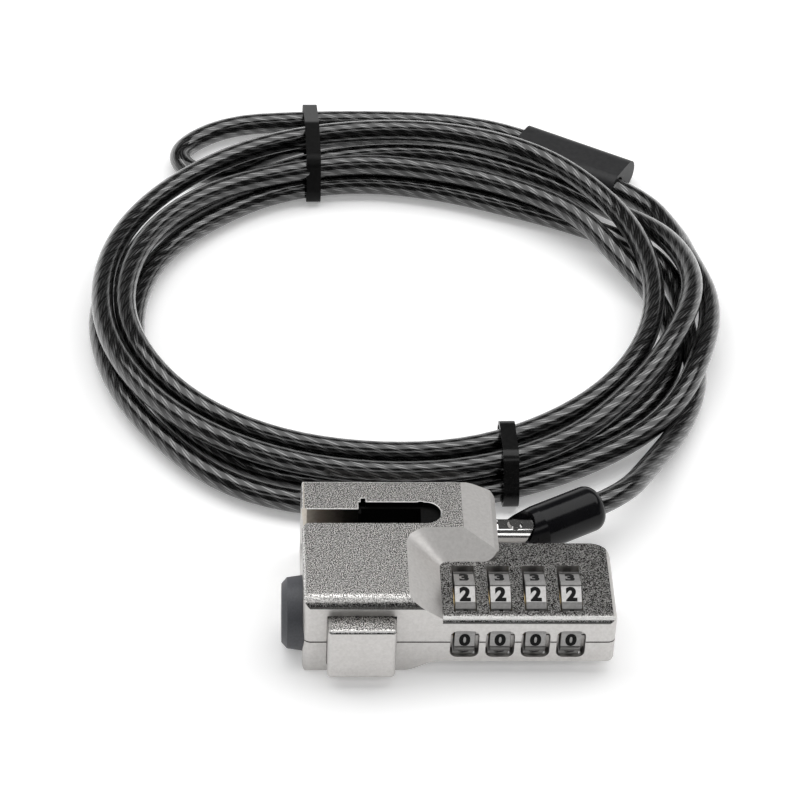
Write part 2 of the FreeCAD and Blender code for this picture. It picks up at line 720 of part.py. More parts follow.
# black liner in the wide part of the slot, open towards the mouth and the jaw
fit = 0.05
liner_top = block_height - liner_lip
liner_parts = [
    box("liner_wide", (x0 + slot_step_x + fit, x0 + slot_end_x - slot_width / 2),
        (y0 + slot_front + fit, y0 + slot_back - fit), (slot_floor, liner_top)),
    rod("liner_round", "z", (x0 + slot_end_x - slot_width / 2, y0 + slot_mid, slot_floor),
        liner_top - slot_floor, slot_width / 2 - fit),
]
liner_room = [
    box("liner_door", (x0 + slot_step_x - 1, x0 + slot_step_x + 2),
        (y0 + slot_front - 1, y0 + slot_back_narrow),
        (slot_floor + 1, block_height)),
    box("liner_room_wide", (x0 + slot_step_x + liner_wall, x0 + slot_end_x - 4.2),
        (y0 + slot_front + liner_wall, y0 + slot_back - liner_wall),
        (slot_floor + 1, block_height)),
    box("liner_gate", (x0 + jaw_x - slide_gap, x0 + jaw_x + jaw_width + slide_gap),
        (y0 + slot_front - 1, y0 + slot_front + 2), (jaw_low - slide_gap, upper_leg_high + 0.1)),
]
liner = cut("liner_solid", fuse("liner_mass", liner_parts), liner_room)

# swivel barrel, its clip, and the upright pivot pin
by = y0 + barrel_y
px = x0 + pin_x
inner_x = x0 + barrel_inner_x
barrel_mass = [
    rod("barrel_journal", "x", (inner_x + 2.3, by, barrel_z),
        pin_x - barrel_inner_x - 2.3, barrel_radius),
    rod("barrel_tail", "x", (inner_x, by, barrel_z), 3, barrel_radius - 1.4),
]
jaw_reach = size("swivel_jaw_reach", 3.9)
nose = doc.addObject("Part::Common", "barrel_nose")
nose.Base = rod("nose_round", "x", (px, by, barrel_z), jaw_reach + 1, barrel_radius)
nose.Tool = rod("nose_reach", "z", (px, by, barrel_z - 6), 12, jaw_reach)
lead_z = barrel_z - lead_drop
groove = cut("clip_groove", rod("groove_outer", "x", (inner_x + 0.6, by, barrel_z), 0.8, 5),
             [rod("groove_inner", "x", (inner_x + 0.5, by, barrel_z), 1.0,
                  barrel_radius - 2.1)])
fork_gap = box("barrel_fork_gap", (px - 4.6, px + 8), (by - 6, by + 6),
               (lead_z - tongue_half - slide_gap, lead_z + tongue_half + slide_gap))
barrel_flat = box("barrel_flat", (px - 3.6, px + 8), (by - 6, by + 6),
                  (barrel_z + barrel_radius - 0.3, barrel_z + 6))
pin_hole = rod("pin_hole", "z", (px, by, barrel_z - 6), 12, pin_radius)
barrel = cut("barrel_solid", fuse("barrel_whole", barrel_mass + [nose]),
             [groove, fork_gap, barrel_flat, pin_hole])
clip = cut("clip_solid", rod("clip_disc", "x", (inner_x + 0.7, by, barrel_z), 0.6, 3.6),
           [rod("clip_hole", "x", (inner_x, by, barrel_z), 2, barrel_radius - 2.1),
            box("clip_mouth", (inner_x, inner_x + 2), (by - 1.05, by + 1.05),
                (barrel_z - 5, barrel_z))])
pin_top = barrel_z + barrel_radius - 0.3
pin = fuse("pin_solid", [
    rod("pin_shank", "z", (px, by, barrel_z - barrel_radius + 0.6),
        barrel_radius * 2 - 0.9, pin_radius),
    taper("pin_head", "z", (px, by, pin_top), 0.45, 1.6, 1.2),
])

# cable end: steel eye and shank, glossy boot over it
lead_turn = Rotation(Vector(0, 0, 1), lead_angle.value)


def along_lead(obj):
    """Turn a piece drawn along x at the pin into the direction of the lead."""
    pivot = Vector(px.value, by.value, lead_z.value)
    obj.Placement = Placement(pivot, lead_turn)
    for letter, v in zip("xyz", (px, by, lead_z)):
        obj.setExpression(".Placement.Base." + letter, v.text)
    obj.setExpression(".Placement.Rotation.Angle", lead_angle.text)
    return obj


eye = cut("eye_solid", fuse("eye_mass", [
    rod("eye_ring", "z", (0, 0, -tongue_half), tongue_half * 2, 2.9),
    box("eye_neck", (0, 6.4), (-1.6, 1.6), (-tongue_half + 0.2, tongue_half - 0.2)),
    rod("eye_shank", "x", (6.2, 0, 0), 4.2, 1.7),
]), [rod("eye_hole", "z", (0, 0, -3), 6, pin_radius + run_gap)])

boot_barrel = rod("boot_barrel", "x", (6.0, 0, 0), boot_length - 6.0, boot_radius)
boot_dome = doc.addObject("Part::Fillet", "boot_dome")
boot_dome.Base = boot_barrel
doc.recompute()
for k, e in enumerate(boot_barrel.Shape.Edges):
    if e.Closed and e.BoundBox.XMin > boot_length.value - 0.1:
        boot_dome.Edges = [(k + 1, boot_end_radius.value, boot_end_radius.value)]

boot_mass = fuse("boot_mass", [
    prism("boot_tongue", "xy", [
        (0, -2.9), (boot_start, -4.2), (6.0, -4.6), (6.0, 4.6),
        (boot_start, 4.2), (0, 2.9), (-1.6, 2.4), (-2.4, 1.6),
        (-2.4, -1.6), (-1.6, -2.4),
    ], -tongue_half, tongue_half * 2),
    taper("boot_cone", "x", (boot_start, 0, 0), 6.0 - boot_start, boot_radius - 0.6,
          boot_radius),
    boot_dome,
])
boot = cut("boot_solid", boot_mass, [
    rod("boot_eye_room", "z", (0, 0, -6), 12, 2.9),
    rod("jaw_room_above", "z", (0, 0, tongue_half), 6, jaw_reach + 0.35),
    rod("jaw_room_below", "z", (0, 0, -tongue_half - 6), 6, jaw_reach + 0.35),
    box("boot_neck_room", (-0.5, 6.4), (-1.6, 1.6), (-tongue_half + 0.2, tongue_half - 0.2)),
    rod("boot_shank_room", "x", (6.2, 0, 0), 4.2, 1.7),
    rod("boot_cable_room", "x", (10.4, 0, 0), boot_length, cable / 2),
])

# cable: lead, wound coil, anchor loop; hand-chosen course in case coordinates
wire = cable.value
coil_centre = Vector(x0.value + 26.1, y0.value + 115.0, 0)
oval_x = 63.0
oval_y = 57.0
low_z = 3.5
# one pair for every 20 degrees: distance outside the mean oval, height of the centre line
COURSE_STEP = 20
course = [
    (0.6, 3.5), (-0.9, 3.5), (-6.4, 3.5), (-10.7, 3.5), (-10.7, 3.5), (-7.9, 3.5),
    (-5.5, 3.5), (-3.8, 3.5), (-1.6, 3.5), (0, 3.5), (1.3, 3.5), (3.4, 3.5),
    (4.1, 3.5), (2.8, 3.5), (1.8, 3.5), (0.9, 3.5), (-0.5, 3.5), (-3.4, 3.5),
    (-6.5, 3.6), (-9.3, 6.7), (-10.2, 9), (-9, 9), (-8.1, 9), (-5.9, 9),
    (-3.6, 9), (-1.7, 9), (0.2, 9), (1, 9), (1.9, 9), (2.4, 9),
    (2, 9), (0.5, 9), (-1, 9), (-3.6, 9), (-5.3, 9), (-5.9, 9.1),
    (-5, 9.1), (-2.6, 9), (0.1, 9), (2.7, 9), (4.4, 9), (5.7, 9),
    (6.5, 9), (6.7, 9), (6.8, 9), (7.3, 9), (8, 9), (9.5, 9),
    (9.4, 9), (7.5, 9), (5.4, 9), (2.8, 9.1), (2, 10.1), (2, 11.5),
    (1.7, 11.3), (3.5, 8.7), (3.5, 4), (2.2, 3.5), (3.2, 3.5), (3.6, 3.5),
    (1.8, 3.5), (2.6, 3.5), (6, 3.5), (7.9, 3.5), (9.1, 3.5), (10.5, 3.5),
    (11.2, 3.5), (9.5, 3.5), (8.3, 3.5), (8, 4.9), (7.8, 8.3), (7.2, 9.3),
    (7.7, 9), (8.8, 8.2),
]


def course_value(turn_angle, column):
    """Smooth curve through the table's numbers."""
    last = len(course) - 1
    k = min(int(turn_angle // COURSE_STEP), last - 1)
    u = turn_angle / float(COURSE_STEP) - k
    before, here, after, later = [course[min(max(i, 0), last)][column]
                                  for i in (k - 1, k, k + 1, k + 2)]
    slope_here = (after - before) / 2
    slope_after = (later - here) / 2
    blend = u * u * (3 - 2 * u)
    return (here * (1 - blend) + after * blend
            + slope_here * u * (1 - u) ** 2 - slope_after * u * u * (1 - u))


def coil_point(turn_angle):
    """Place on the coil's centre line; the angle runs on through every turn."""
    out = course_value(turn_angle, 0)
    z = course_value(turn_angle, 1)
    r = math.radians(turn_angle)
    return coil_centre + Vector((oval_x + out) * math.cos(r), (oval_y + out) * math.sin(r), z)


coil_start = 0.0
coil_end = 1452.0
coil_steps = 130
straight_end = wire


def coil_tangent(angle):
    way = coil_point(angle + 0.5) - coil_point(angle - 0.5)
    return way.normalize()


angles = [coil_start + (coil_end - coil_start) * i / coil_steps for i in range(coil_steps + 1)]
coil_edges = []
for first, second in zip(angles, angles[1:]):
    coil_edges += biarc(coil_point(first), coil_tangent(first),
                        coil_point(second), coil_tangent(second))
first_way = coil_tangent(coil_start)
last_way = coil_tangent(coil_end)
coil_first = coil_point(coil_start) - first_way * straight_end
coil_last = coil_point(coil_end) + last_way * straight_end
coil_path = Part.Wire([Part.makeLine(coil_first, coil_point(coil_start))] + coil_edges
                      + [Part.makeLine(coil_point(coil_end), coil_last)])
coil = solid("coil_tube", sweep(coil_path, coil_first, first_way, wire / 2))

flat_samples = [coil_point(coil_start + 2 * i) for i in range(int((coil_end - coil_start) / 2))]
least = 1e9
for i in range(len(flat_samples)):
    for j in range(i + 40, len(flat_samples)):
        gap = (flat_samples[i] - flat_samples[j]).Length
        if gap < least:
            least = gap
            where = (coil_start + 2 * i, coil_start + 2 * j)
print("least gap between coil passes %.2f mm at %s" % (least - wire, where))


def rounded_route(points):
    """Straight runs joined by tangent arcs; gives the wire and the smallest arc radius."""
    edges = []
    start = points[0]
    tightest = 1e9
    for i in range(1, len(points) - 1):
        before = points[i] - points[i - 1]
        after = points[i + 1] - points[i]
        turn = before.getAngle(after)
        shorter = min(before.Length, after.Length)
        reach = 0.45 * shorter
        radius = reach / math.tan(turn / 2)
        tightest = min(tightest, radius)
        into = Vector(before).normalize()
        out = Vector(after).normalize()
        a = points[i] - into * reach
        b = points[i] + out * reach
        inward = (out - into).normalize()
        centre = points[i] + inward * (radius / math.cos(turn / 2))
        edges.append(Part.makeLine(start, a))
        edges.append(Part.Arc(a, centre - inward * radius, b).toShape())
        start = b
    edges.append(Part.makeLine(start, points[-1]))
    return Part.Wire(edges), tightest


def case_point(x, y, z):
    return Vector(x0.value + x, y0.value + y, z)


pivot = Vector(px.value, by.value, lead_z.value)
lead_way = lead_turn.multVec(Vector(1, 0, 0))
lead_first = pivot + lead_way * 10.4
lead_clear = pivot + lead_way * (boot_length.value + 7.0)
lead_points = [
    lead_first,
    lead_clear,
    case_point(76.6, 57.6, 6.2),
    case_point(84.8, 72.5, 3.6),
    case_point(90.0, 87.0, low_z),
    coil_first - first_way * 12.0,
    coil_first,
]
lead_path, lead_tight = rounded_route(lead_points)
lead = solid("lead_tube", sweep(lead_path, lead_points[0], lead_way, wire / 2))

# crimp sleeve: straight oval, two bores side by side
sleeve_length = size("sleeve_length", 28.0)
sleeve_len = sleeve_length.value
bore_side = size("sleeve_bore_offset", 2.9)
sleeve_way = Vector(-0.857, 0.515, 0).normalize()
sleeve_side = Vector(0, 0, 1).cross(sleeve_way)
sleeve_bend = case_point(85.4, 158.6, low_z)
inner_in = sleeve_bend + sleeve_way * 8.0
sleeve_from = inner_in - sleeve_side * bore_side.value
sleeve_turn = Rotation(Vector(1, 0, 0), sleeve_way)
inner_out = inner_in + sleeve_way * sleeve_len
outer_in = sleeve_from - sleeve_side * bore_side.value
outer_out = outer_in + sleeve_way * sleeve_len

sleeve_round = wire / 2 + 0.95
sleeve_mass = fuse("sleeve_mass", [
    rod("sleeve_inner_side", "x", (0, bore_side, 0), sleeve_len, sleeve_round),
    rod("sleeve_outer_side", "x", (0, -bore_side, 0), sleeve_len, sleeve_round),
    box("sleeve_middle", (0, sleeve_len), (-bore_side, bore_side),
        (-sleeve_round, sleeve_round)),
])
sleeve = cut("sleeve_solid", sleeve_mass, [
    rod("sleeve_bore_inner", "x", (-1, bore_side, 0), sleeve_len + 2, cable / 2),
    rod("sleeve_bore_outer", "x", (1.5, -bore_side, 0), sleeve_len + 2, cable / 2),
])
sleeve.Placement = Placement(sleeve_from, sleeve_turn)

loop_points = [
    coil_last,
    case_point(94.6, 146.0, 4.4),
    sleeve_bend,
    inner_out + sleeve_way * 11.0,
    case_point(24.0, 184.4, low_z),
    case_point(2.0, 182.0, low_z),
    case_point(-18.5, 165.5, low_z),
    case_point(-29.6, 176.2, low_z),
    case_point(-17.0, 187.4, low_z),
    case_point(2.0, 190.0, low_z),
    case_point(27.0, 190.4, low_z),
    outer_out + sleeve_way * 12.0,
    outer_in + sleeve_way * 1.5,
]
loop_path, loop_tight = rounded_route(loop_points)
loop = solid("loop_tube", sweep(loop_path, loop_points[0], last_way, wire / 2))
print("cord radii: lead %.1f mm, loop %.1f mm" % (lead_tight, loop_tight))
print("lengths: lead %.0f, coil %.0f, loop %.0f mm"
      % (lead_path.Length, coil_path.Length, loop_path.Length))


def crossings(path_points, origin, way, reach):
    """Where a centre line passes an upright plane within reach of the origin."""
    found = []
    for a, b in zip(path_points, path_points[1:]):
        da = (a - origin).dot(way)
        db = (b - origin).dot(way)
        if da * db < 0 and (a - origin).Length < reach:
            u = da / (da - db)
            found.append(a * (1 - u) + b * u)
    return found


def hull_of(flat):
    """Outline of the points that lie outermost, turned anticlockwise."""
    hull = []
    flat = sorted(flat)
    for chain in (flat, flat[::-1]):
        start = len(hull)
        for p in chain:
            while len(hull) - start >= 2:
                a = hull[-2]
                b = hull[-1]
                if (b[0] - a[0]) * (p[1] - a[1]) - (b[1] - a[1]) * (p[0] - a[0]) > 0.02:
                    break
                hull.pop()
            hull.append(p)
        hull.pop()
    return hull


def wrap_tie(name, paths, turn_angle, lean, wide):
    """Band laid round every strand that passes one spot, leaning across them."""
    origin = coil_point(turn_angle)
    way = coil_tangent(turn_angle)
    way = Rotation(Vector(0, 0, 1), lean).multVec(Vector(way.x, way.y, 0).normalize())
    strand = wire / 2 / math.cos(math.radians(lean)) + tie_slack
    side = Vector(0, 0, 1).cross(way)
    flat = []
    for edge in (-wide / 2, 0, wide / 2):
        for points in paths:
            for p in crossings(points, origin + way * edge, way, tie_reach):
                flat.append(((p - origin).dot(side), p.z))
    ring = [Vector(origin.x, origin.y, 0) + side * u + Vector(0, 0, z) for u, z in hull_of(flat)]
    core = Part.makePolygon(ring + [ring[0]])
    inside = core.makeOffset2D(strand)
    outside = core.makeOffset2D(strand + tie_thick)
    face = Part.makeFace([outside, inside], "Part::FaceMakerBullseye")
    band = face.extrude(way * wide)
    band.translate(way * (-wide / 2))
    return solid(name, band)


tie_thick = 0.8
tie_slack = 0.08
tie_reach = 45.0
front_tie_at = 287.5
front_tie_lean = -16.5
back_tie_at = 111.8
back_tie_lean = -12.0
coil_line = coil_path.discretize(Distance=0.6)
loop_line = loop_path.discretize(Distance=0.6)
tie_front = wrap_tie("tie_front_band", [coil_line], front_tie_at, front_tie_lean, 3.4)
tie_back = wrap_tie("tie_back_band", [coil_line, loop_line], back_tie_at, back_tie_lean, 3.4)

doc.recompute()
for obj in (eye, boot):
    along_lead(obj)
doc.recompute()

node(upper, "upper_case")
node(lower, "lower_case")
for i in range(dial_count):
    node(rings[i], "dial_ring_%d" % (i + 1))
    node(hubs[i], "dial_hub_%d" % (i + 1))
node(spindle, "spindle")
node(button, "release_button")
node(release_spring, "release_spring")
node(plunger, "plunger")
node(fork, "lock_fork")
node(lower_leg, "guide_leg")
node(jaw, "lock_jaw")
node(plunger_spring, "plunger_spring")
node(latch, "latch")
node(latch_leaf, "latch_leaf")
node(comb, "detent_comb")
node(liner, "slot_liner")
node(case_screws, "case_screws")
node(barrel, "swivel_barrel")
node(clip, "barrel_clip")
node(pin, "pivot_pin")
node(eye, "cable_eye")
node(boot, "cable_boot")
node(lead, "cable_lead")
node(coil, "cable_coil")
node(sleeve, "crimp_sleeve")
node(loop, "anchor_loop")
node(tie_front, "tie_front")
node(tie_back, "tie_back")

doc.recompute()
for obj in doc.Objects:
    bad = [s for s in obj.State if s in ("Invalid", "Error")]
    if bad:
        raise RuntimeError("%s is %s" % (obj.Name, bad))
for obj in nodes:
    shape = obj.Shape
    if shape.isNull() or not shape.isValid():
        raise RuntimeError("%s has no sound shape" % obj.Label)
    if shape.BoundBox.ZMin < -0.001:
        print("below the floor: %s %.3f" % (obj.Label, shape.BoundBox.ZMin))
    shape.exportStep("parts/%s.step" % obj.Label)
print("sub-parts written: %d" % len(nodes))
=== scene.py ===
import math

import bpy
import bmesh
from mathutils import Matrix, Vector


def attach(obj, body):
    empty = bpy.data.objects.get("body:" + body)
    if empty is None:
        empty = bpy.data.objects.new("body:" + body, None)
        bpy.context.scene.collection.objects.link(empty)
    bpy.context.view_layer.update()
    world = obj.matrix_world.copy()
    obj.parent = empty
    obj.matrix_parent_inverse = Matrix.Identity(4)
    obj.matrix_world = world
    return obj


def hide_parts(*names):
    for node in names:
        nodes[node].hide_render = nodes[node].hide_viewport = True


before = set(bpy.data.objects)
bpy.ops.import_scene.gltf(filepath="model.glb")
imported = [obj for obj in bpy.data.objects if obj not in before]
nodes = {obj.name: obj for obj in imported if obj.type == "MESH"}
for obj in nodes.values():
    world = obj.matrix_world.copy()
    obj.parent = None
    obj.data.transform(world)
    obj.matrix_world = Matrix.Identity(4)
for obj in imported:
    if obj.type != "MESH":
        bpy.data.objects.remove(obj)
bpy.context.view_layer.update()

MM = 0.001

# Places in the case's own millimetres, counted from its left front corner on the floor.
CASE_X = 29.825
CASE_Y = 16.4


def at(x, y, z):
    """A place given from the case's left front corner, in metres of the row frame."""
    return Vector(((x - CASE_X) * MM, (y - CASE_Y) * MM, z * MM))


# Camera: a long lens above the front, turned a little, the picture tilted clockwise.
IMAGE = 800
FOCAL_PIXELS = 3460
ELEVATION = math.radians(40)
AZIMUTH = math.radians(-3.85)
ROLL = math.radians(2.69)
AXIS_REACH = 776 * MM
CORNER_PIXEL = (302, 672)
SENSOR = 36

view_back = Vector((math.sin(AZIMUTH) * math.cos(ELEVATION),
                    -math.cos(AZIMUTH) * math.cos(ELEVATION), math.sin(ELEVATION)))
level_right = Vector((math.cos(AZIMUTH), math.sin(AZIMUTH), 0))
level_up = view_back.cross(level_right)
view_right = level_right * math.cos(ROLL) + level_up * math.sin(ROLL)
view_up = level_up * math.cos(ROLL) - level_right * math.sin(ROLL)
corner_ray = (view_right * (CORNER_PIXEL[0] - IMAGE / 2)
              + view_up * (IMAGE / 2 - CORNER_PIXEL[1]) - view_back * FOCAL_PIXELS)
eye_height = AXIS_REACH * math.sin(ELEVATION)
eye = at(0, 0, 0) - corner_ray * (eye_height / -corner_ray.z)

camera = bpy.data.objects.new("camera", bpy.data.cameras.new("camera"))
bpy.context.scene.collection.objects.link(camera)
bpy.context.scene.camera = camera
camera.data.sensor_width = SENSOR
camera.data.lens = FOCAL_PIXELS * SENSOR / IMAGE
camera.data.clip_end = 10
camera_turn = Matrix((view_right, view_up, view_back)).transposed().to_4x4()
camera.matrix_world = Matrix.Translation(eye) @ camera_turn


# Cord: one sheathed cable from the boot through the coil, the sleeve and the anchor loop.
# Its diameter, the height of the lowest pass, and the pin and direction that it starts from.
WIRE = 5.0
LOW_Z = 3.5
PIVOT = (44.9, 30.5, 9.4)
LEAD_ANGLE = math.radians(29.5)
LEAD_WAY = (math.cos(LEAD_ANGLE), math.sin(LEAD_ANGLE))
BOOT_END = 21.2

# The coil runs round a mean oval. Its angle counts from +X and runs on through every turn.
OVAL = (63.0, 57.0)
COIL_CENTRE = (26.1, 115.0)
COIL_START = 0
COIL_END = 1452
COIL_STEP = 6
# One pair for every 20 degrees: distance outside the mean oval, height of the centre line.
COURSE_STEP = 20
COURSE = [
    (0.6, 3.5), (-0.9, 4), (-7.6, 3.5), (-11.4, 3.5), (-10.7, 3.5), (-7.9, 3.5),
    (-5.5, 3.5), (-4.4, 3.5), (-2.4, 3.9), (-0.6, 4.1), (2.1, 4.1), (5.8, 3.5),
    (7.6, 3.5), (5, 4), (1.8, 3.5), (0.9, 3.5), (1.4, 3.5), (-0.2, 3.6),
    (-4.9, 4.4), (-9.6, 6.2), (-10.4, 8.7), (-10.6, 8.5), (-9.8, 8.5), (-7.1, 8.5),
    (-4.8, 8.4), (-2, 9.4), (0.1, 9.9), (1.8, 9.2), (2.7, 9.7), (2.7, 9),
    (2, 8.9), (0.5, 9), (-1, 9), (-3.6, 9), (-5.5, 9.2), (-6.7, 9.4),
    (-6.7, 9.5), (-4.8, 9.4), (-1, 9.2), (3, 9.6), (4.8, 9.5), (5.8, 9.1),
    (6.5, 9), (6.7, 8.6), (6.8, 8.8), (7, 9), (7.8, 9.4), (8.7, 9.5),
    (8.6, 9.5), (7.5, 9.5), (5.4, 9), (2.8, 9.1), (0.1, 10.7), (-0.1, 12.2),
    (2, 11.6), (2.5, 8.5), (1.8, 4.2), (2, 3.6), (3.3, 3.9), (3.6, 3.5),
    (1.8, 3.5), (2.1, 3.6), (4.4, 3.6), (7.4, 3.5), (9.1, 3.6), (11.5, 3.6),
    (14.7, 3.5), (12.2, 3.5), (8.3, 3.5), (8, 4.9), (8.3, 6.6), (6.2, 8),
    (6.1, 6.6), (5.2, 6.2),
]


def course_value(angle, column):
    """Smooth curve through one column of the course."""
    last = len(COURSE) - 1
    k = min(int(angle // COURSE_STEP), last - 1)
    u = angle / COURSE_STEP - k
    before, here, after, later = [COURSE[min(max(i, 0), last)][column]
                                  for i in (k - 1, k, k + 1, k + 2)]
    slope_here = (after - before) / 2
    slope_after = (later - here) / 2
    blend = u * u * (3 - 2 * u)
    return (here * (1 - blend) + after * blend
            + slope_here * u * (1 - u) ** 2 - slope_after * u * u * (1 - u))


def coil_point(angle):
    """Place on the coil's centre line."""
    out = course_value(angle, 0)
    r = math.radians(angle)
    return at(COIL_CENTRE[0] + (OVAL[0] + out) * math.cos(r),
              COIL_CENTRE[1] + (OVAL[1] + out) * math.sin(r), course_value(angle, 1))


def coil_way(angle):
    """Direction in which the cable runs there."""
    return (coil_point(angle + 0.5) - coil_point(angle - 0.5)).normalized()


# The sleeve has two bores side by side: the cable goes in by the inner one and ends in the outer.
SLEEVE_BEND = (85.4, 158.6)
SLEEVE_RUN_IN = 8
SLEEVE_WAY = Vector((-0.857, 0.515, 0)).normalized()
SLEEVE_LENGTH = 28.0
BORE_SIDE = 2.9
sleeve_side = Vector((0, 0, 1)).cross(SLEEVE_WAY)
coil_first = coil_point(COIL_START) - coil_way(COIL_START) * WIRE * MM
coil_last = coil_point(COIL_END) + coil_way(COIL_END) * WIRE * MM
inner_in = at(*SLEEVE_BEND, LOW_Z) + SLEEVE_WAY * SLEEVE_RUN_IN * MM
inner_out = inner_in + SLEEVE_WAY * SLEEVE_LENGTH * MM
outer_in = inner_in - sleeve_side * 2 * BORE_SIDE * MM
outer_out = outer_in + SLEEVE_WAY * SLEEVE_LENGTH * MM


def along_lead(reach):
    """Place on the boot's axis, counted from the pin."""
    return at(PIVOT[0] + LEAD_WAY[0] * reach, PIVOT[1] + LEAD_WAY[1] * reach, PIVOT[2])


lead_points = [
    along_lead(BOOT_END - 3),
    along_lead(BOOT_END + 7),
    at(76.6, 57.6, 6.2),
    at(84.8, 72.5, 3.6),
    at(90.0, 87.0, LOW_Z),
    coil_first - coil_way(COIL_START) * 12 * MM,
    coil_first,
]
coil_points = [coil_point(a) for a in range(COIL_START, COIL_END, COIL_STEP)]
loop_points = [
    coil_last,
    at(91.0, 141.0, 4.4),
    inner_in - SLEEVE_WAY * 6 * MM,
    inner_out + SLEEVE_WAY * 2 * MM,
    at(41.6, 183.0, 4.1),
    at(24.0, 183.6, 3.9),
    at(2.0, 181.2, LOW_Z),
    at(-20.3, 163.9, LOW_Z),
    at(-29.6, 174.0, LOW_Z),
    at(-17.0, 186.6, LOW_Z),
    at(3.1, 188.9, LOW_Z),
    at(25.9, 189.3, LOW_Z),
    at(42.4, 187.7, LOW_Z),
    outer_out + SLEEVE_WAY * 2 * MM,
    outer_in + SLEEVE_WAY * 1.5 * MM,
]


def mesh_of(data):
    """The mesh that a curve or a text makes, which is then removed."""
    holder = bpy.data.objects.new(data.name, data)
    bpy.context.scene.collection.objects.link(holder)
    mesh = bpy.data.meshes.new_from_object(
        holder.evaluated_get(bpy.context.evaluated_depsgraph_get()))
    bpy.data.objects.remove(holder)
    bpy.data.curves.remove(data)
    return mesh


def route_line(points):
    """The smooth line that a NURBS spline with these control points follows."""
    data = bpy.data.curves.new("route", "CURVE")
    data.dimensions = "3D"
    data.resolution_u = 10
    spline = data.splines.new("NURBS")
    spline.points.add(len(points) - 1)
    for place, point in zip(spline.points, points):
        place.co = (*point, 1)
    spline.order_u = 3
    spline.use_endpoint_u = True
    mesh = mesh_of(data)
    line = [v.co.copy() for v in mesh.vertices]
    bpy.data.meshes.remove(mesh)
    return line


def resample(line, step):
    """The same line with places a steady distance apart, and its length."""
    total = sum((b - a).length for a, b in zip(line, line[1:]))
    count = max(2, round(total / step))
    wanted = [total * i / count for i in range(count + 1)]
    places = []
    run = 0.0
    k = 0
    for reach in wanted:
        while k < len(line) - 2 and run + (line[k + 1] - line[k]).length < reach:
            run += (line[k + 1] - line[k]).length
            k += 1
        part = (line[k + 1] - line[k]).length
        places.append(line[k].lerp(line[k + 1], min(1.0, (reach - run) / max(part, 1e-9))))
    return places, total


def new_piece(name, form, *finishes):
    """Piece with a form's mesh and finishes."""
    mesh = bpy.data.meshes.new(name)
    form.to_mesh(mesh)
    form.free()
    for finish in finishes:
        mesh.materials.append(finish)
    piece = bpy.data.objects.new(name, mesh)
    bpy.context.scene.collection.objects.link(piece)
    return piece


# Six strands twisted to the right, each of finer wires with a longer twist.
STRANDS = 6
LAY = 26 * MM
WIRE_LAY = 60 * MM
WIRES = 26
STRAND_RELIEF = 0.015 * MM
RING_STEP = 0.8 * MM
RING_SIDES = 30


def strand_profile(turns):
    """1 on top of a strand, 0 in the groove beside it."""
    across = abs((turns * STRANDS) % 1 * 2 - 1)
    return math.sqrt(max(0.0, 1 - across * across))


def cable_tube(line, radius, sides):
    """Sheathed cable along a line: U runs once round it, V in metres along it."""
    form = bmesh.new()
    uv = form.loops.layers.uv.new("UVMap")
    rings = []
    reach = [0.0]
    for a, b in zip(line, line[1:]):
        reach.append(reach[-1] + (b - a).length)
    side = Vector((0, 0, 1))
    for i, place in enumerate(line):
        way = (line[min(i + 1, len(line) - 1)] - line[max(i - 1, 0)]).normalized()
        side = (side - way * side.dot(way)).normalized()
        other = way.cross(side)
        ring = []
        for k in range(sides):
            turn = 2 * math.pi * k / sides
            depth = STRAND_RELIEF * (1 - strand_profile(k / sides - reach[i] / LAY))
            ring.append(form.verts.new(
                place + (side * math.cos(turn) + other * math.sin(turn)) * (radius - depth)))
        rings.append(ring)
    for i in range(len(rings) - 1):
        for k in range(sides):
            after = (k + 1) % sides
            face = form.faces.new((rings[i][k], rings[i][after],
                                   rings[i + 1][after], rings[i + 1][k]))
            face.smooth = True
            for loop, u, v in zip(face.loops, (k, k + 1, k + 1, k), (i, i, i + 1, i + 1)):
                loop[uv].uv = (u / sides, reach[v])
    form.faces.new(rings[0][::-1])
    form.faces.new(rings[-1])
    form.normal_update()
    return form


cable_line, cable_length = resample(route_line(lead_points + coil_points + loop_points), RING_STEP)
cable = new_piece("cable", cable_tube(cable_line, WIRE / 2 * MM, RING_SIDES))


